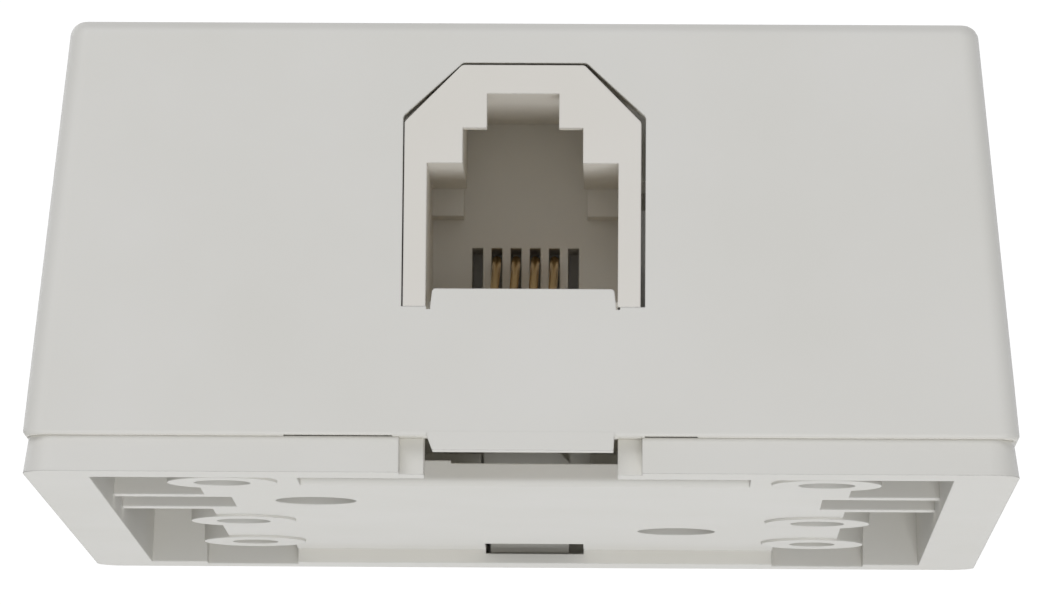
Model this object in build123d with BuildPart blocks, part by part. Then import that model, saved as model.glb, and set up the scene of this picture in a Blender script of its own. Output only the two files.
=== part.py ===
import os
from math import atan, cos, degrees, pi, radians, sin, tan

from build123d import *

# A surface mount jack box: a snap-shut box that holds one six-position modular jack.
# All sizes are in millimetres. The origin is the centre of the underside of the rim,
# +Z points away from the wall or skirting it is fixed to, and the jack faces -Y.

# Driving dimensions of the box
box_width = 51.4
box_depth = 57.0
box_height = 23.8
wall_draft = 5.5  # degrees, cover walls lean in by this much
cover_wall = 1.3
cover_roof = 1.3
cover_corner_r = 1.0
cover_edge_r = 0.8
cover_foot_r = 0.25
foot_relief_height = 0.05
foot_relief_depth = 0.7
foot_relief_spans = ((-12.2, -6.6), (6.4, 9.1))

# Rim and skirt of the base
lip_height = 1.9
lip_inset = 0.3
lip_corner_r = 1.5
rail_width = 3.1
side_rail_width = 3.3
inner_draft = 2.5  # degrees, inner faces of the rim lean in by this much
skirt_gap = 0.15
skirt_top = 6.4
skirt_corner_r = 0.7

# Recessed plate of the base
plate_bottom = 0.8
plate_top = 2.0
plate_side_gap = 4.95
plate_mouth_half_width = 12.0
plate_mouth_depth = 15.1
plate_mouth_edge_r = 0.45
mouth_bead_height = 0.15
mouth_bead_depth = 1.0
mouth_bead_end_x = -3.95

# Side cable channels, each between two ribs
rib_thickness = 1.3
rib_top = 4.2
channel_front_y = -6.3
channel_rear_y = -0.6
channel_notch = 1.4

# Screw posts: places from the rim's inner side, the front, the middle and the rear
post_side_inset = 6.35
post_front_inset = 13.0
post_middle_y = 6.65
post_rear_inset = 8.9
post_r = 2.93
post_top = 9.0
post_foot_drop = 0.13
post_hole_r = 1.5
spare_hole_r = 1.3

# Mounting screw holes through the plate
mount_hole_r = 2.2
mount_hole_places = ((-11.54, -4.3), (8.2, 13.3))

# Front notch of the rim, for the cover's foot tab
notch_front_half_width = 6.26
notch_step_depth = 1.0
notch_half_width = 5.0
notch_arch_top = 3.0

# Rear slot for the latch leg, above a lip of the rim, and the two rear knock-out recesses
slot_half_width = 2.85
slot_lip_height = 0.57
slot_skirt_half_width = 3.2
slot_front_inset = 6.95
knockout_side_inset = 5.9
knockout_width = 5.3
knockout_front_inset = 5.9
knockout_depth = 1.2
knockout_top = 5.6

# Cut-out of the cover around the jack. The sill, on which the jack's legs also stand, is
# set from the top of the box, and the other heights of cut-out and jack are above it.
sill_drop = 15.11
cutout_shift = 0.08
cutout_play = 0.15
cutout_flat_play = 0.03
cutout_shoulder_play = 0.3
cutout_top_play = 0.12
cutout_corner_r = 0.3
sill_bevel = 0.5

# Tab on the sill between the jack's legs, foot tab and latch leg of the cover
sill_tab_foot_play = 0.16
sill_tab_top_play = 0.26
sill_tab_height = 0.94
sill_tab_corner_r = 0.2
slit_width = 0.2
slit_drop = 0.14
foot_tab_half_width = 4.82
foot_tab_left_slope = 0.28
foot_tab_right_slope = 0.04
foot_tab_drop = 0.72
foot_tab_thickness = 1.1
foot_tab_setback = 0.02
latch_left_x = -2.6
latch_right_x = 2.0
latch_upper_left_x = -3.04
latch_upper_right_x = 1.45
latch_thickness = 1.2
latch_wall_gap = 0.2
latch_bottom = 0.65
latch_left_shoulder = 2.6
latch_right_shoulder = 6.0
latch_runout = 0.3

# Thin panels inside the cover where a cable channel can be opened
cover_panel_depth = 0.6
cover_panel_top = 8.4
cover_panel_margin = 0.3

# Modular jack: outside, heights above the sill and depths from the box's front
jack_half_width = 6.14
jack_flat_half_width = 3.18
jack_shoulder_height = 9.76
jack_height = 12.79
jack_depth = 15.9
jack_corner_r = 0.3
jack_seat_gap = 0.05
ledge_depth = 1.3
ledge_height = 6.81

# Modular jack: mouth and inside
mouth_half_width = 4.96
mouth_height = 7.58
latch_mouth_half_width = 3.12
latch_mouth_height = 9.45
latch_notch_half_width = 1.87
latch_notch_height = 11.27
latch_lip_thickness = 0.6
latch_pocket_half_width = 3.28
ceiling_step_depth = 11.3
ceiling_rear_height = 6.11
comb_depth = 12.8
floor_height = 0.81
floor_thickness = 1.6
floor_front_depth = 5.3

# Comb and contact wires
contact_pitch = 1.02
comb_slots = 6
comb_slot_width = 0.57
comb_slot_depth = 2.6
comb_slot_top_height = 4.59
comb_slot_bottom_height = 1.91
contact_count = 4
wire_r = 0.23
wire_gap = 0.05
wire_bend_r = 0.3
wire_groove_width = 0.6
wire_run_drop = 0.24
wire_tip_rise = 4.03
wire_tip_inset = 0.7
wire_tail = 0.5

# Seat of the jack in the base: front tower with cheeks, and two rear uprights
tower_wall = 1.86
cheek_reach = 0.4
cheek_height = 5.31
cheek_start_depth = 2.0
cheek_end_depth = 4.0
groove_play = 0.1
upright_overlap = 0.69
upright_width = 2.2
upright_gap = 0.1
upright_thickness = 1.3
upright_arm_length = 2.9
upright_arm_drop = 0.69
upright_arm_rise = 5.91
upright_foot_inset = 0.05
catch_reach = 1.0
catch_height = 1.1
catch_gap = 0.1

# Terminals: lug tongue, washer and screw, stacked on a post
lug_thickness = 0.4
lug_tongue_r = 2.9
lug_slot_width = 3.3
lug_neck_width = 1.9
lug_barrel_r = 0.95
lug_barrel_start = 4.0
lug_barrel_length = 2.8
lug_angles = (55.0, 0.0)  # degrees, direction of the barrel from the screw, left side
washer_r = 3.0
washer_bore_r = 1.5
washer_thickness = 0.5
screw_head_r = 3.1
screw_head_height = 2.0
screw_head_crown_r = 0.4
screw_shank_r = 1.4
screw_tip_chamfer = 0.4
screw_tip_z = 1.6
screw_slot_width = 0.8
screw_slot_depth = 1.1

# Leads
lead_r = 0.46
lead_bore_gap = 0.04
lead_insertion = 2.4
lead_start_gap = 0.08
lead_straight = 4.2

cut_overrun = 1.0

# Derived sizes
cover_height = box_height - lip_height
front_y = -box_depth / 2
rear_y = box_depth / 2
draft_run = tan(radians(wall_draft))
inner_width = box_width - 2 * side_rail_width
inner_depth = box_depth - 2 * rail_width
skirt_width = box_width - 2 * (cover_wall + skirt_gap)
skirt_depth = box_depth - 2 * (cover_wall + skirt_gap)
lip_taper = degrees(atan(lip_inset / lip_height))
plate_half_width = inner_width / 2 - plate_side_gap
channel_plate_half_width = plate_half_width - channel_notch
channel_y = (channel_front_y + channel_rear_y) / 2
channel_width = channel_rear_y - channel_front_y
plate_mouth_rear_y = front_y + plate_mouth_depth
post_x = inner_width / 2 - post_side_inset
post_rows = (front_y + post_front_inset, post_middle_y, rear_y - post_rear_inset)
slot_front_y = rear_y - slot_front_inset
slot_rear_y = rear_y - cover_wall
knockout_x = inner_width / 2 - knockout_side_inset
knockout_front_y = rear_y - knockout_front_inset

# Derived sizes of the jack and what holds it
sill = box_height - sill_drop
jack_rear_y = front_y + jack_depth
jack_shoulder = sill + jack_shoulder_height
jack_top = sill + jack_height
ledge_top = sill + ledge_height
mouth_shoulder = sill + mouth_height
latch_mouth_top = sill + latch_mouth_height
latch_notch_top = sill + latch_notch_height
ceiling_step_y = front_y + ceiling_step_depth
ceiling_rear = sill + ceiling_rear_height
comb_y = front_y + comb_depth
floor_top = sill + floor_height
floor_bottom = floor_top - floor_thickness
floor_front_y = front_y + floor_front_depth
cutout_half_width = jack_half_width + cutout_play
cutout_flat_half_width = jack_flat_half_width + cutout_flat_play
cutout_shoulder = jack_shoulder + cutout_shoulder_play
cutout_top = jack_top + cutout_top_play
sill_tab_half_width = mouth_half_width - sill_tab_foot_play
sill_tab_end_half_width = mouth_half_width - sill_tab_top_play
tower_half_width = jack_half_width + tower_wall
cheek_top = sill + cheek_height
groove_front_y = front_y + cheek_start_depth
groove_rear_y = front_y + cheek_end_depth
upright_inner_x = jack_half_width - upright_overlap
upright_front_y = jack_rear_y + upright_gap
upright_arm_front_y = jack_rear_y - upright_arm_length
upright_foot_front_y = plate_mouth_rear_y + upright_foot_inset

# Derived sizes of the contacts and terminals
wire_run_height = sill - wire_run_drop
wire_tip_height = sill + wire_tip_rise
wire_front_y = floor_front_y - wire_r - wire_gap
wire_start_y = jack_rear_y + wire_tail
wire_tip_y = comb_y + wire_tip_inset
wire_turn_height = floor_top + wire_r + wire_gap
contact_xs = [(i - (contact_count - 1) / 2) * contact_pitch for i in range(contact_count)]
comb_xs = [(i - (comb_slots - 1) / 2) * contact_pitch for i in range(comb_slots)]
tongue_top = post_top + lug_thickness
washer_top = tongue_top + washer_thickness
barrel_height = post_top + lug_barrel_r


def cover_front(z):
    """Y of the cover's outer front face at height z."""
    return front_y + (z - lip_height) * draft_run


front_face = Plane(
    origin=(0, front_y, lip_height),
    x_dir=(1, 0, 0),
    z_dir=(0, -cos(radians(wall_draft)), sin(radians(wall_draft))),
)


def at_y(y, x=0.0):
    """Vertical sketch plane at y, seen from the front: X right of x, Z up, extruding forwards."""
    return Plane(origin=(x, y, 0), x_dir=(1, 0, 0), z_dir=(0, -1, 0))


def upper(sketch):
    """Corners of a house-shaped outline that lie above the sill."""
    return [v for v in sketch.vertices() if v.Y > sill + jack_corner_r]


os.makedirs("parts", exist_ok=True)

# Base: rim, skirt and front tower
with BuildPart() as base:
    with BuildSketch():
        RectangleRounded(box_width, box_depth, lip_corner_r)
    extrude(amount=lip_height, taper=lip_taper)
    with BuildSketch(Plane.XY.offset(lip_height)):
        Rectangle(skirt_width, skirt_depth)
    extrude(amount=cheek_top - lip_height, taper=wall_draft)
    corners = base.edges().filter_by(GeomType.LINE).filter_by(
        lambda e: abs(e.center().X) > inner_width / 2 - rail_width
        and abs(e.center().Y) > inner_depth / 2 - rail_width
        and e.center().Z > lip_height + skirt_gap
        and abs(e.tangent_at(0.5).Z) > cos(radians(2 * wall_draft))
    )
    fillet(corners, skirt_corner_r)
    with BuildSketch():
        Rectangle(inner_width, inner_depth)
    extrude(amount=cheek_top + cut_overrun, taper=inner_draft, mode=Mode.SUBTRACT)
    with BuildSketch(Plane.XY.offset(skirt_top)):
        Rectangle(box_width, box_depth)
        with Locations((0, front_y)):
            Rectangle(
                2 * tower_half_width,
                2 * rail_width,
                align=(Align.CENTER, Align.MIN),
                mode=Mode.SUBTRACT,
            )
    extrude(amount=cheek_top, mode=Mode.SUBTRACT)

    # Jack's gap in the tower, wider above the cheeks' feet so that the legs rest on it
    with BuildSketch(Plane.XY.offset(sill - jack_seat_gap)):
        with Locations((0, front_y)):
            Rectangle(2 * (jack_half_width - cheek_reach), 2 * rail_width, align=(Align.CENTER, Align.MIN))
    extrude(amount=cheek_top, mode=Mode.SUBTRACT)

    # Plate with its mouth, channel notches and post feet
    with BuildSketch(Plane.XY.offset(plate_bottom)):
        Rectangle(2 * plate_half_width, inner_depth)
        with Locations((0, (front_y + plate_mouth_rear_y) / 2)):
            Rectangle(2 * plate_mouth_half_width, plate_mouth_rear_y - front_y, mode=Mode.SUBTRACT)
        for side in (-1, 1):
            with Locations((side * (plate_half_width - channel_notch / 2), channel_y)):
                Rectangle(channel_notch, channel_width, mode=Mode.SUBTRACT)
    extrude(amount=plate_top - plate_bottom)
    mouth_edge = base.edges().filter_by(Axis.X).sort_by_distance((0, plate_mouth_rear_y, plate_bottom))[0]
    fillet(mouth_edge, plate_mouth_edge_r)
    with BuildSketch(Plane.XY.offset(plate_top)):
        with Locations((mouth_bead_end_x, plate_mouth_rear_y)):
            Rectangle(
                plate_mouth_half_width + mouth_bead_end_x,
                mouth_bead_depth,
                align=(Align.MAX, Align.MIN),
            )
    extrude(amount=mouth_bead_height)

    # Ribs either side of each cable channel
    with BuildSketch(Plane.XY.offset(plate_bottom)):
        for side in (-1, 1):
            for y in (channel_front_y - rib_thickness / 2, channel_rear_y + rib_thickness / 2):
                with Locations((side * (channel_plate_half_width + inner_width / 2) / 2, y)):
                    Rectangle(inner_width / 2 - channel_plate_half_width, rib_thickness)
    extrude(amount=rib_top - plate_bottom)

    # Screw posts
    with BuildSketch(Plane.XY.offset(plate_bottom - post_foot_drop)):
        with Locations([(side * post_x, y) for side in (-1, 1) for y in post_rows]):
            Circle(post_r)
    extrude(amount=post_top - plate_bottom + post_foot_drop)

    # Rear uprights: foot under the jack, arm beside it and a catch over its ledge
    with BuildSketch(Plane.XY.offset(plate_top)):
        for side in (-1, 1):
            with Locations((side * (upright_inner_x + upright_width / 2), upright_foot_front_y)):
                Rectangle(
                    upright_width,
                    upright_front_y + upright_thickness - upright_foot_front_y,
                    align=(Align.CENTER, Align.MIN),
                )
    extrude(amount=sill - jack_seat_gap - plate_top)
    with BuildSketch(Plane.XY.offset(plate_top)):
        for side in (-1, 1):
            with Locations((side * (upright_inner_x + upright_width / 2), upright_front_y)):
                Rectangle(upright_width, upright_thickness, align=(Align.CENTER, Align.MIN))
    extrude(amount=ledge_top + catch_gap + catch_height - plate_top)
    with BuildSketch(Plane.XY.offset(sill - upright_arm_drop)):
        for side in (-1, 1):
            arm_inner = jack_half_width + 2 * groove_play
            arm_outer = upright_inner_x + upright_width
            with Locations((side * (arm_inner + arm_outer) / 2, upright_arm_front_y)):
                Rectangle(
                    arm_outer - arm_inner,
                    upright_front_y - upright_arm_front_y,
                    align=(Align.CENTER, Align.MIN),
                )
    extrude(amount=upright_arm_rise + upright_arm_drop)
    for side in (-1, 1):
        with BuildSketch(Plane.YZ.offset(side * upright_inner_x)):
            with BuildLine():
                Polyline(
                    (upright_front_y, ledge_top + catch_gap),
                    (upright_front_y - catch_reach, ledge_top + catch_gap),
                    (upright_front_y, ledge_top + catch_gap + catch_height),
                    close=True,
                )
            make_face()
        extrude(amount=side * upright_width)

    # Openings through the base
    with Locations([(side * post_x, y, post_top) for side in (-1, 1) for y in post_rows[:2]]):
        Hole(post_hole_r)
    with Locations([(side * post_x, post_rows[2], post_top) for side in (-1, 1)]):
        Hole(spare_hole_r)
    with Locations([(x, y, plate_top) for x, y in mount_hole_places]):
        Hole(mount_hole_r, depth=plate_top)
    with BuildSketch():
        with Locations((0, front_y)):
            Rectangle(2 * notch_front_half_width, 2 * notch_step_depth)
    extrude(amount=lip_height, mode=Mode.SUBTRACT)
    with BuildSketch():
        with Locations((0, front_y)):
            Rectangle(2 * notch_half_width, rail_width + cut_overrun, align=(Align.CENTER, Align.MIN))
    extrude(amount=notch_arch_top, mode=Mode.SUBTRACT)
    with BuildSketch(Plane.XY.offset(slot_lip_height)):
        with Locations((0, slot_front_y)):
            Rectangle(2 * slot_half_width, slot_rear_y - slot_front_y, align=(Align.CENTER, Align.MIN))
    extrude(amount=knockout_top, mode=Mode.SUBTRACT)
    with BuildSketch():
        for side in (-1, 1):
            with Locations((side * knockout_x, knockout_front_y)):
                Rectangle(
                    knockout_width,
                    rear_y - rail_width + knockout_depth - knockout_front_y,
                    align=(Align.CENTER, Align.MIN),
                )
    extrude(amount=knockout_top, mode=Mode.SUBTRACT)
    with BuildSketch(Plane.XY.offset(lip_height)):
        with Locations((0, channel_y)):
            Rectangle(box_width, channel_width)
            Rectangle(2 * channel_plate_half_width, channel_width, mode=Mode.SUBTRACT)
        with Locations((0, slot_front_y)):
            Rectangle(2 * slot_skirt_half_width, rear_y - slot_front_y, align=(Align.CENTER, Align.MIN))
    extrude(amount=skirt_top, mode=Mode.SUBTRACT)

base.part.label = "base"
export_step(base.part, "parts/base.step")

# Cover: drafted box, hollow from below
with BuildPart() as cover:
    with BuildSketch(Plane.XY.offset(lip_height)):
        Rectangle(box_width, box_depth)
    extrude(amount=cover_height, taper=wall_draft)
    upright_edges = cover.edges().filter_by(lambda e: abs(e.tangent_at(0.5).Z) > cos(radians(2 * wall_draft)))
    fillet(upright_edges, cover_corner_r)
    fillet(cover.faces().sort_by(Axis.Z)[-1].edges(), cover_edge_r)
    fillet(cover.faces().sort_by(Axis.Z)[0].edges(), cover_foot_r)
    with BuildSketch(Plane.XY.offset(lip_height)):
        Rectangle(box_width - 2 * cover_wall, box_depth - 2 * cover_wall)
    extrude(amount=cover_height - cover_roof, taper=wall_draft, mode=Mode.SUBTRACT)

    # House-shaped cut-out for the jack, with the sill tab left standing
    cutout_back_y = cover_front(cutout_top) + 2 * cover_wall
    with BuildSketch(at_y(cutout_back_y, cutout_shift)) as cutout:
        with BuildLine():
            Polyline(
                (-cutout_half_width, sill),
                (cutout_half_width, sill),
                (cutout_half_width, cutout_shoulder),
                (cutout_flat_half_width, cutout_top),
                (-cutout_flat_half_width, cutout_top),
                (-cutout_half_width, cutout_shoulder),
                close=True,
            )
        make_face()
        fillet(upper(cutout), cutout_corner_r)
        with BuildLine():
            FilletPolyline(
                (-sill_tab_half_width, sill),
                (-sill_tab_end_half_width, sill + sill_tab_height),
                (sill_tab_end_half_width, sill + sill_tab_height),
                (sill_tab_half_width, sill),
                radius=sill_tab_corner_r,
            )
            Line((sill_tab_half_width, sill), (-sill_tab_half_width, sill))
        make_face(mode=Mode.SUBTRACT)
        for side in (-1, 1):
            with Locations((side * (sill_tab_half_width + slit_width / 2), sill)):
                Rectangle(slit_width, 2 * slit_drop)
    extrude(amount=cutout_back_y - front_y + cut_overrun, mode=Mode.SUBTRACT)

    # Bevel behind the sill on either side of the tab, so that the cover swings past the legs
    for side in (-1, 1):
        with BuildSketch(Plane.YZ.offset(cutout_shift + side * sill_tab_half_width)):
            with BuildLine():
                Polyline(
                    (cover_front(sill), sill),
                    (cover_front(sill) + 2 * cover_wall, sill),
                    (cover_front(sill) + 2 * cover_wall, sill - 2 * sill_bevel),
                    close=True,
                )
            make_face()
        extrude(amount=side * (cutout_half_width - sill_tab_half_width), mode=Mode.SUBTRACT)

    # Foot tab in the base's front notch
    with BuildSketch(at_y(front_y + foot_tab_setback + foot_tab_thickness)):
        with BuildLine():
            Polyline(
                (-foot_tab_half_width, lip_height + cover_foot_r),
                (-foot_tab_half_width, lip_height),
                (-foot_tab_half_width + foot_tab_left_slope, lip_height - foot_tab_drop),
                (foot_tab_half_width - foot_tab_right_slope, lip_height - foot_tab_drop),
                (foot_tab_half_width, lip_height),
                (foot_tab_half_width, lip_height + cover_foot_r),
                close=True,
            )
        make_face()
    extrude(amount=foot_tab_thickness)

    # Relief under the front foot on either side of the tab
    for span in foot_relief_spans:
        with BuildSketch(Plane.XY.offset(lip_height)):
            with Locations((sum(span) / 2, front_y)):
                Rectangle(span[1] - span[0], 2 * foot_relief_depth)
        extrude(amount=foot_relief_height, mode=Mode.SUBTRACT)

    # Latch leg, growing out of the rear wall and down through the base's slot
    latch_outer_y = rear_y - cover_wall - latch_wall_gap
    latch_top = lip_height + (latch_wall_gap + latch_thickness) / draft_run - latch_runout
    with BuildSketch(at_y(latch_outer_y)):
        with BuildLine():
            Polyline(
                (latch_left_x, latch_bottom),
                (latch_right_x, latch_bottom),
                (latch_right_x, latch_right_shoulder),
                (latch_upper_right_x, latch_right_shoulder + latch_right_x - latch_upper_right_x),
                (latch_upper_right_x, latch_top),
                (latch_upper_left_x, latch_top),
                (latch_upper_left_x, latch_left_shoulder + latch_left_x - latch_upper_left_x),
                (latch_left_x, latch_left_shoulder),
                close=True,
            )
        make_face()
    extrude(amount=latch_thickness)

    # Thinned panels over the side channels
    for side in (-1, 1):
        panel = Plane(
            origin=(side * (box_width / 2 - cover_wall), channel_y, lip_height),
            x_dir=(0, 1, 0),
            z_dir=(side * cos(radians(wall_draft)), 0, sin(radians(wall_draft))),
        )
        with BuildSketch(panel):
            Rectangle(channel_width - 2 * cover_panel_margin, 2 * (cover_panel_top - lip_height))
        extrude(amount=cover_panel_depth, mode=Mode.SUBTRACT)

cover.part.label = "cover"
export_step(cover.part, "parts/cover.step")

# Modular jack housing
with BuildPart() as jack_housing:
    with BuildSketch(at_y(jack_rear_y)) as outline:
        with BuildLine():
            Polyline(
                (-jack_half_width, sill),
                (jack_half_width, sill),
                (jack_half_width, jack_shoulder),
                (jack_flat_half_width, jack_top),
                (-jack_flat_half_width, jack_top),
                (-jack_half_width, jack_shoulder),
                close=True,
            )
        make_face()
        fillet(upper(outline), jack_corner_r)
    extrude(amount=jack_rear_y - front_y)
    with BuildSketch(Plane.XY.offset(floor_bottom)):
        with Locations((0, floor_front_y)):
            Rectangle(2 * mouth_half_width, jack_rear_y - floor_front_y, align=(Align.CENTER, Align.MIN))
    extrude(amount=floor_top - floor_bottom)
    split(bisect_by=front_face, keep=Keep.BOTTOM)

    # Plug space up to the ceiling step, then the lower space up to the comb
    with BuildSketch(at_y(ceiling_step_y)):
        with Locations((0, floor_top)):
            Rectangle(2 * mouth_half_width, mouth_shoulder - floor_top, align=(Align.CENTER, Align.MIN))
    extrude(amount=ceiling_step_y - front_y, mode=Mode.SUBTRACT)
    with BuildSketch(at_y(comb_y)):
        with Locations((0, floor_top)):
            Rectangle(2 * mouth_half_width, ceiling_rear - floor_top, align=(Align.CENTER, Align.MIN))
    extrude(amount=comb_y - ceiling_step_y, mode=Mode.SUBTRACT)

    # Latch mouth: the step and notch in the front, and the pocket from the lips to the comb
    with BuildSketch(at_y(ceiling_step_y)):
        with Locations((0, mouth_shoulder)):
            Rectangle(
                2 * latch_mouth_half_width,
                latch_mouth_top - mouth_shoulder,
                align=(Align.CENTER, Align.MIN),
            )
        with Locations((0, latch_mouth_top)):
            Rectangle(
                2 * latch_notch_half_width,
                latch_notch_top - latch_mouth_top,
                align=(Align.CENTER, Align.MIN),
            )
    extrude(amount=ceiling_step_y - front_y, mode=Mode.SUBTRACT)
    with BuildSketch(at_y(ceiling_step_y)):
        with Locations((0, latch_mouth_top)):
            Rectangle(
                2 * latch_mouth_half_width,
                latch_notch_top - latch_mouth_top,
                align=(Align.CENTER, Align.MIN),
            )
    extrude(amount=ceiling_step_y - cover_front(latch_notch_top) - latch_lip_thickness, mode=Mode.SUBTRACT)
    with BuildSketch(at_y(comb_y)):
        with Locations((0, ceiling_rear)):
            Rectangle(
                2 * latch_pocket_half_width,
                latch_notch_top - ceiling_rear,
                align=(Align.CENTER, Align.MIN),
            )
    extrude(amount=comb_y - ceiling_step_y, mode=Mode.SUBTRACT)

    # Space between the legs in front of the floor, where the cover's sill tab stands
    with BuildSketch(Plane.XY.offset(sill)):
        with Locations((0, floor_front_y)):
            Rectangle(2 * mouth_half_width, floor_front_y - front_y, align=(Align.CENTER, Align.MAX))
    extrude(amount=floor_height, mode=Mode.SUBTRACT)

    # Comb in the rear wall, and a groove under the floor for every contact wire
    with BuildSketch(at_y(comb_y + comb_slot_depth)):
        for x in comb_xs:
            with Locations((x, sill + comb_slot_bottom_height)):
                Rectangle(
                    comb_slot_width,
                    comb_slot_top_height - comb_slot_bottom_height,
                    align=(Align.CENTER, Align.MIN),
                )
    extrude(amount=comb_slot_depth, mode=Mode.SUBTRACT)
    with BuildSketch(at_y(jack_rear_y)):
        for x in contact_xs:
            with Locations((x, floor_bottom)):
                Rectangle(
                    wire_groove_width,
                    wire_run_height + wire_r + wire_gap - floor_bottom,
                    align=(Align.CENTER, Align.MIN),
                )
    extrude(amount=jack_rear_y - floor_front_y, mode=Mode.SUBTRACT)

    # Side grooves for the tower's cheeks, and the ledge under the uprights' catches
    for side in (-1, 1):
        with BuildSketch(Plane.XY.offset(sill)):
            with Locations((side * jack_half_width, (groove_front_y + groove_rear_y) / 2)):
                Rectangle(2 * (cheek_reach + groove_play), groove_rear_y - groove_front_y)
        extrude(amount=cheek_height + groove_play, mode=Mode.SUBTRACT)
    with BuildSketch(Plane.XY.offset(ledge_top)):
        with Locations((0, jack_rear_y)):
            Rectangle(2 * jack_half_width, ledge_depth, align=(Align.CENTER, Align.MAX))
    extrude(amount=jack_top - ledge_top, mode=Mode.SUBTRACT)

jack_housing.part.label = "jack_housing"
export_step(jack_housing.part, "parts/jack_housing.step")

# Contact wires: back under the floor, up round its front edge and back up to the comb
for number, x in enumerate(contact_xs, start=1):
    with BuildPart() as contact_wire:
        with BuildLine() as wire_path:
            FilletPolyline(
                (x, wire_start_y, wire_run_height),
                (x, wire_front_y, wire_run_height),
                (x, wire_front_y, wire_turn_height),
                (x, wire_tip_y, wire_tip_height),
                radius=wire_bend_r,
            )
        with BuildSketch(Plane(origin=wire_path.line @ 0, z_dir=wire_path.line % 0)):
            Circle(wire_r)
        sweep()
    contact_wire.part.label = f"contact_wire_{number}"
    export_step(contact_wire.part, f"parts/contact_wire_{number}.step")

# Terminals 1 and 2 are on the left of the box, 3 and 4 on the right
terminals = []
for side in (-1, 1):
    for row, angle in enumerate(lug_angles):
        direction = Vector(-side * cos(radians(angle)), sin(radians(angle)), 0)
        terminals.append((Vector(side * post_x, post_rows[row], 0), direction))

for number, (centre, direction) in enumerate(terminals, start=1):
    on_post = Plane(origin=centre + Vector(0, 0, post_top), x_dir=direction, z_dir=(0, 0, 1))
    with BuildPart() as spade_lug:
        with BuildSketch(on_post):
            Circle(lug_tongue_r)
            Rectangle(lug_barrel_start, lug_neck_width, align=(Align.MIN, Align.CENTER))
            Rectangle(lug_tongue_r, lug_slot_width, align=(Align.MAX, Align.CENTER), mode=Mode.SUBTRACT)
            Circle(lug_slot_width / 2, mode=Mode.SUBTRACT)
        extrude(amount=lug_thickness)
        barrel_end = centre + direction * lug_barrel_start + Vector(0, 0, barrel_height)
        with BuildSketch(Plane(origin=barrel_end, z_dir=direction)):
            Circle(lug_barrel_r)
        extrude(amount=lug_barrel_length)
        with BuildSketch(Plane(origin=barrel_end, z_dir=direction)):
            Circle(lead_r + lead_bore_gap)
        extrude(amount=lug_barrel_length, mode=Mode.SUBTRACT)
    spade_lug.part.label = f"spade_lug_{number}"
    export_step(spade_lug.part, f"parts/spade_lug_{number}.step")

    with BuildPart() as terminal_washer:
        with BuildSketch(on_post.offset(lug_thickness)):
            Circle(washer_r)
            Circle(washer_bore_r, mode=Mode.SUBTRACT)
        extrude(amount=washer_thickness)
    terminal_washer.part.label = f"terminal_washer_{number}"
    export_step(terminal_washer.part, f"parts/terminal_washer_{number}.step")

    with BuildPart() as terminal_screw:
        with BuildSketch(on_post.offset(lug_thickness + washer_thickness)):
            Circle(screw_head_r)
        extrude(amount=screw_head_height)
        fillet(terminal_screw.faces().sort_by(Axis.Z)[-1].edges(), screw_head_crown_r)
        with BuildSketch(on_post.offset(lug_thickness + washer_thickness)):
            Circle(screw_shank_r)
        extrude(amount=screw_tip_z - washer_top)
        chamfer(terminal_screw.faces().sort_by(Axis.Z)[0].edges(), screw_tip_chamfer)
        with BuildSketch(on_post.offset(washer_top + screw_head_height - post_top)):
            Rectangle(2 * screw_head_r, screw_slot_width)
        extrude(amount=-screw_slot_depth, mode=Mode.SUBTRACT)
    terminal_screw.part.label = f"terminal_screw_{number}"
    export_step(terminal_screw.part, f"parts/terminal_screw_{number}.step")


def bend_radii(points):
    """Arc radius at each corner: 0.45 of the shorter run over the tangent of half the turn."""
    radii = []
    for before, corner, after in zip(points, points[1:], points[2:]):
        turn = radians((corner - before).get_angle(after - corner))
        run = min((corner - before).length, (after - corner).length)
        radii.append(0.45 * run / tan(turn / 2))
    return radii


# Leads: from the wire ends behind the jack to the lugs, left pair then right pair
lead_middles = (
    ((-1.75, -7.8, 8.55), (-4.0, -4.3, 9.1), (-7.8, -4.7, 9.7)),
    ((-0.6, -6.0, 8.5), (-1.3, 0.2, 9.1), (-3.4, 4.5, 9.7)),
)
for index, name in enumerate(("lead_black", "lead_red", "lead_yellow", "lead_green")):
    centre, direction = terminals[index]
    side = -1 if index < len(lug_angles) else 1
    row = index % len(lug_angles)
    contact_x = side * contact_xs[contact_count - 1 - row]
    start = Vector(contact_x, wire_start_y + lead_start_gap, wire_run_height)
    seat = centre + direction * (lug_barrel_start + lug_barrel_length - lead_insertion)
    seat = seat + Vector(0, 0, barrel_height)
    middles = [Vector(-side * x, y, z) for x, y, z in lead_middles[row]]
    points = [start, *middles, seat + direction * lead_straight, seat]
    radii = bend_radii(points)
    print(name, "bend radii", [round(r, 1) for r in radii])
    with BuildPart() as lead:
        with BuildLine() as lead_path:
            FilletPolyline(*points, radius=radii)
        with BuildSketch(Plane(origin=lead_path.line @ 0, z_dir=lead_path.line % 0)):
            Circle(lead_r)
        sweep()
    lead.part.label = name
    export_step(lead.part, f"parts/{name}.step")
    tube = pi * lead_r**2 * sum(edge.length for edge in lead_path.edges())
    print(name, "volume", round(lead.part.volume, 2), "section times length", round(tube, 2))
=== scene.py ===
from math import cos, pi, radians, sin

import bmesh
import bpy
from mathutils import Matrix, Vector


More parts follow.
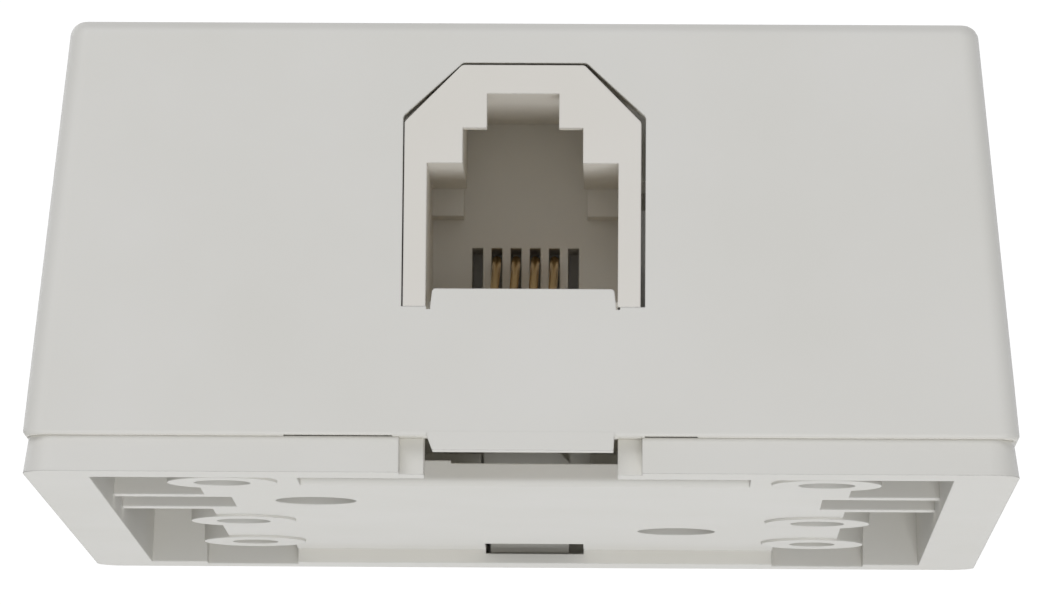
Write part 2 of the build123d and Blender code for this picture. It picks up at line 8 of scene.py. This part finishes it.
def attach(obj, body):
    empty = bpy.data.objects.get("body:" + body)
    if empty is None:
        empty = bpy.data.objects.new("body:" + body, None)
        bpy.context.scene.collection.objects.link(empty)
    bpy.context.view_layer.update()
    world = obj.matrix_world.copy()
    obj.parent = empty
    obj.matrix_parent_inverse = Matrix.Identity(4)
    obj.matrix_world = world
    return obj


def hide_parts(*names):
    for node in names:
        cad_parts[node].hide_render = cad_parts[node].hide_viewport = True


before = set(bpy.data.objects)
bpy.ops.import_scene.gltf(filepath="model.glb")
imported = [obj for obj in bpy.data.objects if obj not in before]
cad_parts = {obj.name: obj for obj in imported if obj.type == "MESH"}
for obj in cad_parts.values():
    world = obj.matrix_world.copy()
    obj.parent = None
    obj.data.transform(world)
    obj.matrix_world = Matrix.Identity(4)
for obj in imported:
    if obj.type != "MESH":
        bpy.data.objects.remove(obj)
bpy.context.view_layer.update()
mm = 0.001

# Camera: long lens, a little below the level of the base and looking up at its underside
camera_place = Vector((6.346, -413.83, -37.81)) * mm
camera_pitch = radians(6.90)
camera_yaw = radians(-0.95)
camera_roll = radians(0.39)
camera_lens = 260.7
camera_sensor = 36.0
camera_near = 0.01
camera_far = 50

# Studio, in metres: a lit white backdrop far behind, a pale floor far below and a soft surround
floor_drop = 1.5
floor_half = 6.0
floor_colour = "#E8E8E6"
floor_roughness = 0.9
backdrop_distance = 3.0
backdrop_half = 1.2
backdrop_glow = 1.03
surround_glow = 0.45
# The light is a touch cool, so the lit faces read as a neutral white and the recesses stay warm
daylight = "#F7F9FF"
# Softboxes: place and size in metres and power in watts. All face the middle of the box
softboxes = {
    "high_softbox": ((-0.35, -0.85, 0.9), 0.6, 5.3),
    "low_softbox": ((0.1, -0.56, -0.76), 0.4, 3.45),
    "under_softbox": ((0, 0.4, -0.87), 0.5, 0.9),
    "rear_left_fill": ((-0.9, 0.75, 0.5), 0.8, 3.0),
    "rear_right_fill": ((0.9, 0.75, 0.3), 0.8, 2.2),
}
softbox_aim = Vector((0, 0, 0.01))

# Finishes: where a pattern's noise turns from its dark tone to its light one, the size of the
# plastic's flow clouds in millimetres, how strong each bump is, and how far roughness wanders
tone_start = 0.3
tone_end = 0.7
flow_cloud = 9
plastic_bump = 0.35
plastic_shine_spread = 0.04
plastic_ior = 1.53
metal_bump = 0.3
metal_shine_spread = 0.06

screw_names = [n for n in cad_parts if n.startswith("terminal_screw")]
washer_names = [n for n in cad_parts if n.startswith("terminal_washer")]
wire_names = [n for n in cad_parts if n.startswith("contact_wire")]

# Terminals: place of each screw and direction from it to its lug's barrel, in millimetres
lug_slant = (cos(radians(55)), sin(radians(55)))
terminals = {
    1: ((-16.05, -15.5), lug_slant),
    2: ((-16.05, 6.65), (1.0, 0.0)),
    3: ((16.05, -15.5), (-lug_slant[0], lug_slant[1])),
    4: ((16.05, 6.65), (-1.0, 0.0)),
}
# The lug's barrel, measured from the screw, and the two crimps in it, measured along it
barrel_start = 4.0
barrel_length = 2.8
barrel_height = 9.95
crimp_places = (0.85, 1.95)
crimp_half_width = 0.3
crimp_squeeze = 0.7
crimp_ring_reach = 0.01
# Points of a CAD mesh that are this close are one point
weld_distance = 0.0005
# The seven strands of a conductor, with their ends a little apart and their edges broken
strand_r = 0.11
strand_reach = 0.55
strand_stagger = 0.04
strand_sides = 14
strand_edge = 0.03
strand_edge_angle = radians(60)

# Thread of the terminal screws on the CAD shank. Foot and crest are shares of half the pitch
thread_pitch = 0.794
thread_root_r = 1.36
thread_crest_r = 1.47
thread_foot = 0.44
thread_crest = 0.08
thread_bottom = 2.1
thread_turns = 9
thread_steps = 28
thread_run_out = 0.1

# Leads: the routes of the part's source, in millimetres
lead_r = 0.46
lead_start_y = -12.02
lead_start_z = 8.45
lead_middles = (
    ((-1.75, -7.8, 8.55), (-4.0, -4.3, 9.1), (-7.8, -4.7, 9.7)),
    ((-0.6, -6.0, 8.5), (-1.3, 0.2, 9.1), (-3.4, 4.5, 9.7)),
)
lead_insertion = 2.4
lead_straight = 4.2
lead_line_steps = 16
lead_round_steps = 8
lead_contacts = {"black": 1.53, "red": 0.51, "yellow": 1.53, "green": 0.51}


def linear(hex_colour):
    """An sRGB hex colour as linear red, green, blue and alpha."""
    parts = [int(hex_colour[i:i + 2], 16) / 255 for i in (1, 3, 5)]
    return [c / 12.92 if c <= 0.04045 else ((c + 0.055) / 1.055) ** 2.4 for c in parts] + [1.0]


def add(tree, kind, values=None, joins=None, **settings):
    """A new node in a tree, with its settings, socket values and incoming links."""
    node = tree.nodes.new(kind)
    for name, value in settings.items():
        setattr(node, name, value)
    for socket, value in (values or {}).items():
        node.inputs[socket].default_value = value
    for socket, source in (joins or {}).items():
        tree.links.new(source, node.inputs[socket])
    return node


def new_material(name):
    """An empty material with its shader and output, and Object coordinates to read."""
    material = bpy.data.materials.new(name)
    material.use_nodes = True
    tree = material.node_tree
    tree.nodes.clear()
    shader = add(tree, "ShaderNodeBsdfPrincipled")
    add(tree, "ShaderNodeOutputMaterial", joins={"Surface": shader.outputs["BSDF"]})
    place = add(tree, "ShaderNodeTexCoord").outputs["Object"]
    return material, tree, shader, place


def moulded_plastic(name, light, dark, roughness, grain=0.12, grain_height=0.004, edge=0.12):
    """Injection-moulded plastic: a spark-eroded grain, faint flow clouding and softened edges.

    Grain, its height and the edges are in millimetres, as in the metals below.
    """
    material, tree, shader, place = new_material(name)
    # Flow clouding gives the eye a face that isn't one flat tone
    clouds = add(
        tree, "ShaderNodeTexNoise", {"Scale": 1 / (flow_cloud * mm), "Detail": 3.0}, {"Vector": place},
    )
    tint = add(tree, "ShaderNodeValToRGB", joins={"Fac": clouds.outputs["Fac"]})
    tint.color_ramp.elements[0].position = tone_start
    tint.color_ramp.elements[0].color = linear(dark)
    tint.color_ramp.elements[1].position = tone_end
    tint.color_ramp.elements[1].color = linear(light)
    tree.links.new(tint.outputs["Color"], shader.inputs["Base Color"])
    # The mould's grain breaks up highlights without showing as dots
    grit = add(
        tree, "ShaderNodeTexNoise", {"Scale": 1 / (grain * mm), "Detail": 2.0}, {"Vector": place},
    )
    soft_edge = add(tree, "ShaderNodeBevel", {"Radius": edge * mm}, samples=6)
    bump = add(
        tree, "ShaderNodeBump", {"Strength": plastic_bump, "Distance": grain_height * mm},
        {"Height": grit.outputs["Fac"], "Normal": soft_edge.outputs["Normal"]},
    )
    tree.links.new(bump.outputs["Normal"], shader.inputs["Normal"])
    shine = add(
        tree, "ShaderNodeMapRange",
        {"To Min": roughness - plastic_shine_spread, "To Max": roughness + plastic_shine_spread},
        {"Value": grit.outputs["Fac"]},
    )
    tree.links.new(shine.outputs["Result"], shader.inputs["Roughness"])
    shader.inputs["IOR"].default_value = plastic_ior
    return material


def plated_metal(
    name, light, dark, roughness, grain=0.25, relief=0.002, edge=0.06, draw_scale=(1.0, 1.0, 1.0),
):
    """Plated or drawn metal: a grain stretched along the drawing direction, and softened edges."""
    material, tree, shader, place = new_material(name)
    stretch = add(tree, "ShaderNodeMapping", {"Scale": draw_scale}, {"Vector": place})
    streaks = add(
        tree, "ShaderNodeTexNoise", {"Scale": 1 / (grain * mm), "Detail": 3.0},
        {"Vector": stretch.outputs["Vector"]},
    )
    tint = add(tree, "ShaderNodeValToRGB", joins={"Fac": streaks.outputs["Fac"]})
    tint.color_ramp.elements[0].position = tone_start
    tint.color_ramp.elements[0].color = linear(dark)
    tint.color_ramp.elements[1].position = tone_end
    tint.color_ramp.elements[1].color = linear(light)
    tree.links.new(tint.outputs["Color"], shader.inputs["Base Color"])
    shine = add(
        tree, "ShaderNodeMapRange",
        {"To Min": roughness - metal_shine_spread, "To Max": roughness + metal_shine_spread},
        {"Value": streaks.outputs["Fac"]},
    )
    tree.links.new(shine.outputs["Result"], shader.inputs["Roughness"])
    soft_edge = add(tree, "ShaderNodeBevel", {"Radius": edge * mm}, samples=8)
    bump = add(
        tree, "ShaderNodeBump", {"Strength": metal_bump, "Distance": relief * mm},
        {"Height": streaks.outputs["Fac"], "Normal": soft_edge.outputs["Normal"]},
    )
    tree.links.new(bump.outputs["Normal"], shader.inputs["Normal"])
    shader.inputs["Metallic"].default_value = 1.0
    return material


def pvc_insulation(name, light, dark):
    """Extruded PVC insulation: a soft sheen and slight marks of the extruder."""
    return moulded_plastic(name, light, dark, roughness=0.38, grain=0.3, grain_height=0.01, edge=0.03)


def piece_of(mesh, name, body, material, smooth=False):
    """A finished bmesh as a piece at the origin, riding on a body, with its material."""
    bmesh.ops.recalc_face_normals(mesh, faces=mesh.faces)
    data = bpy.data.meshes.new(name)
    mesh.to_mesh(data)
    mesh.free()
    data.materials.append(material)
    data.polygons.foreach_set("use_smooth", [smooth] * len(data.polygons))
    piece = bpy.data.objects.new(name, data)
    bpy.context.collection.objects.link(piece)
    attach(piece, body)
    return piece


def crimped_lug(number, centre, direction, material):
    """The CAD lug with its barrel crimped in two places on the conductor."""
    node = f"spade_lug_{number}"
    mesh = bmesh.new()
    mesh.from_mesh(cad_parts[node].data)
    bmesh.ops.remove_doubles(mesh, verts=mesh.verts, dist=weld_distance * mm)
    along = Vector((*direction, 0))
    start = Vector((*centre, barrel_height)) + along * barrel_start
    for place in crimp_places:
        for offset in (-crimp_half_width, 0, crimp_half_width):
            bmesh.ops.bisect_plane(
                mesh,
                geom=[*mesh.verts, *mesh.edges, *mesh.faces],
                dist=weld_distance * mm,
                plane_co=(start + along * (place + offset)) * mm,
                plane_no=along,
            )
        middle = (start + along * place) * mm
        ring = [v for v in mesh.verts if abs((v.co - middle).dot(along)) < crimp_ring_reach * mm]
        bmesh.ops.scale(mesh, verts=ring, vec=(1, 1, crimp_squeeze), space=Matrix.Translation(-middle))
    piece = piece_of(mesh, f"crimped_lug_{number}", "base", material)
    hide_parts(node)


def bare_strands(number, centre, direction, material):
    """Seven bare strands that stand out of the barrel's end towards the screw."""
    along = Vector((*direction, 0))
    across = Vector((-direction[1], direction[0], 0))
    end = Vector((*centre, barrel_height)) + along * (barrel_start + barrel_length / 2)
    length = barrel_length / 2 + strand_reach
    mesh = bmesh.new()
    ring = [(0.0, 0.0)] + [(cos(i * pi / 3), sin(i * pi / 3)) for i in range(6)]
    for index, (side, rise) in enumerate(ring):
        shorter = strand_stagger * (index % 3)
        place = end - along * (length - shorter) / 2
        place = place + (across * side + Vector((0, 0, rise))) * (2 * strand_r)
        turn = along.to_track_quat("Z", "Y").to_matrix().to_4x4()
        strand = bmesh.ops.create_cone(
            mesh, cap_ends=True, segments=strand_sides, radius1=strand_r * mm, radius2=strand_r * mm,
            depth=(length - shorter) * mm, matrix=Matrix.Translation(place * mm) @ turn,
        )
        caps = [
            e for e in mesh.edges
            if e.verts[0] in strand["verts"] and len(e.link_faces) == 2
            and e.calc_face_angle(0) > strand_edge_angle
        ]
        bmesh.ops.bevel(
            mesh, geom=caps, offset=strand_edge * mm, offset_type="OFFSET", affect="EDGES",
            segments=2, profile=0.5, material=-1, clamp_overlap=True,
        )
    piece_of(mesh, f"conductor_strands_{number}", "base", material, smooth=True)


def screw_thread(number, centre, material):
    """A machine thread's ridge round the CAD shank: its section turned upwards along a helix."""
    mesh = bmesh.new()
    half = thread_pitch / 2
    section = [
        mesh.verts.new(Vector((centre[0] + r, centre[1], thread_bottom + z)) * mm)
        for r, z in (
            (thread_root_r, -thread_foot * half),
            (thread_crest_r, -thread_crest * half),
            (thread_crest_r, thread_crest * half),
            (thread_root_r, thread_foot * half),
        )
    ]
    edges = [mesh.edges.new(pair) for pair in zip(section, section[1:] + section[:1])]
    turned = bmesh.ops.spin(
        mesh,
        geom=section + edges,
        cent=Vector((*centre, 0)) * mm,
        axis=(0, 0, 1),
        dvec=(0, 0, thread_pitch * mm / thread_steps),
        angle=2 * pi * thread_turns,
        steps=thread_steps * thread_turns,
        use_merge=False,
    )
    # The ridge runs out into the shank at both ends
    last = [v for v in turned["geom_last"] if isinstance(v, bmesh.types.BMVert)]
    for end in (section, last):
        middle = sum((v.co for v in end), Vector()) / len(end)
        bmesh.ops.scale(
            mesh, verts=end, vec=[thread_run_out] * 3, space=Matrix.Translation(-middle),
        )
        bmesh.ops.contextual_create(mesh, geom=end)
    piece_of(mesh, f"screw_thread_{number}", f"terminal_screw_{number}", material)


def insulated_lead(colour, number, material):
    """A lead's PVC insulation on a smooth curve from behind the jack into its lug's barrel."""
    centre, direction = terminals[number]
    side = -1 if centre[0] < 0 else 1
    along = Vector((*direction, 0))
    seat = Vector((*centre, barrel_height)) + along * (barrel_start + barrel_length - lead_insertion)
    middles = lead_middles[(number - 1) % 2]
    points = [Vector((side * lead_contacts[colour], lead_start_y, lead_start_z))]
    points += [Vector((-side * x, y, z)) for x, y, z in middles]
    points += [seat + along * lead_straight, seat]
    data = bpy.data.curves.new(f"insulated_lead_{colour}", "CURVE")
    data.dimensions = "3D"
    line = data.splines.new("NURBS")
    line.points.add(len(points) - 1)
    for point, place in zip(line.points, points):
        point.co = (*(place * mm), 1)
    line.order_u = 3
    line.use_endpoint_u = True
    line.resolution_u = lead_line_steps
    data.bevel_depth = lead_r * mm
    data.bevel_resolution = lead_round_steps
    data.use_fill_caps = True
    data.materials.append(material)
    piece = bpy.data.objects.new(f"insulated_lead_{colour}", data)
    bpy.context.collection.objects.link(piece)
    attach(piece, "base")
    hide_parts(f"lead_{colour}")


def paint(names, material):
    """Gives CAD nodes a material in place of their own."""
    for name in names:
        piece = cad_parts[name]
        for place in piece.material_slots:
            place.material = material


def set_camera():
    """The camera of the photograph."""
    forward = Vector((
        sin(camera_yaw) * cos(camera_pitch),
        cos(camera_yaw) * cos(camera_pitch),
        sin(camera_pitch),
    ))
    level = Vector((cos(camera_yaw), -sin(camera_yaw), 0))
    rise = level.cross(forward)
    right = level * cos(camera_roll) + rise * sin(camera_roll)
    up = rise * cos(camera_roll) - level * sin(camera_roll)
    turn = Matrix((right, up, -forward)).transposed()
    lens = bpy.data.cameras.new("photo_camera")
    lens.lens = camera_lens
    lens.sensor_width = camera_sensor
    lens.clip_start = camera_near
    lens.clip_end = camera_far
    camera = bpy.data.objects.new("photo_camera", lens)
    camera.matrix_world = Matrix.Translation(camera_place) @ turn.to_4x4()
    bpy.context.collection.objects.link(camera)
    bpy.context.scene.camera = camera


def softbox(name, place, size, power):
    """A square softbox that faces the middle of the box."""
    lamp = bpy.data.lights.new(name, "AREA")
    lamp.size = size
    lamp.energy = power
    lamp.color = linear(daylight)[:3]
    box = bpy.data.objects.new(name, lamp)
    facing = (softbox_aim - Vector(place)).to_track_quat("-Z", "Y")
    box.matrix_world = Matrix.Translation(place) @ facing.to_matrix().to_4x4()
    bpy.context.collection.objects.link(box)


def stage_sheet(name, half, move, material):
    """A square sheet of the studio, turned and moved into place by a matrix."""
    mesh = bmesh.new()
    bmesh.ops.create_grid(mesh, x_segments=1, y_segments=1, size=half, matrix=move)
    data = bpy.data.meshes.new(name)
    mesh.to_mesh(data)
    mesh.free()
    data.materials.append(material)
    sheet = bpy.data.objects.new(name, data)
    bpy.context.collection.objects.link(sheet)


def studio():
    """The surround, a pale floor far below the box and a lit white backdrop behind it."""
    world = bpy.data.worlds.new("white_tent")
    bpy.context.scene.world = world
    world.use_nodes = True
    world.node_tree.nodes["Background"].inputs["Color"].default_value = linear(daylight)
    world.node_tree.nodes["Background"].inputs["Strength"].default_value = surround_glow
    paper, _, shader, _ = new_material("white_paper_floor")
    shader.inputs["Base Color"].default_value = linear(floor_colour)
    shader.inputs["Roughness"].default_value = floor_roughness
    stage_sheet("floor", floor_half, Matrix.Translation((0, 0, -floor_drop)), paper)
    lit, _, shader, _ = new_material("lit_backdrop")
    shader.inputs["Base Color"].default_value = linear("#000000")
    shader.inputs["Emission Color"].default_value = linear("#FFFFFF")
    shader.inputs["Emission Strength"].default_value = backdrop_glow
    behind = Matrix.Translation((0, backdrop_distance, 0)) @ Matrix.Rotation(pi / 2, 4, "X")
    stage_sheet("backdrop", backdrop_half, behind, lit)


set_camera()
studio()
bpy.context.scene.view_settings.view_transform = "Standard"
for name, (place, size, power) in softboxes.items():
    softbox(name, place, size, power)

# Cover and base are high-impact styrene in a warm white, with an eggshell sheen
shell_plastic = moulded_plastic("moulded_styrene_white", "#E6E3DA", "#E3E0D6", roughness=0.5)
# The jack is ABS, a shade lighter and warmer, and a little glossier
jack_plastic = moulded_plastic("moulded_abs_jack", "#EAE5DA", "#E7E2D6", roughness=0.45)
paint(["base", "cover"], shell_plastic)
paint(["jack_housing"], jack_plastic)
# Contacts are gold plated: bright, warm, with the fine streaks of drawn wire
gold = plated_metal(
    "gold_plated_wire", "#F0CC7A", "#CFA34E", roughness=0.24, draw_scale=(4.0, 0.4, 4.0),
)
# Lugs are tin-plated brass: a soft grey with a faint yellow cast, duller than the screws
tin = plated_metal("tinned_brass_lug", "#CBCAC2", "#ABA99F", roughness=0.36)
# Screws and washers are bright zinc on steel: bluish, and faintly clouded about 1 mm across
zinc = plated_metal(
    "zinc_plated_steel", "#C8CACD", "#B9BBBF", roughness=0.27, grain=0.9, relief=0.0012, edge=0.2,
)
# Strands are bare annealed copper, a dull pink brown once crimped
copper = plated_metal("bare_copper_strand", "#E09A6C", "#B9683E", roughness=0.3)
paint(wire_names, gold)
paint(washer_names + screw_names, zinc)
for number, (centre, direction) in terminals.items():
    crimped_lug(number, centre, direction, tin)
    bare_strands(number, centre, direction, copper)
    screw_thread(number, centre, zinc)
for number, (colour, light, dark) in enumerate((
    ("black", "#1C1C1D", "#141415"),
    ("red", "#B3201D", "#9E1A18"),
    ("yellow", "#E2BC1F", "#CFA918"),
    ("green", "#1C7A34", "#17682C"),
), start=1):
    insulated_lead(colour, number, pvc_insulation(f"pvc_insulation_{colour}", light, dark))
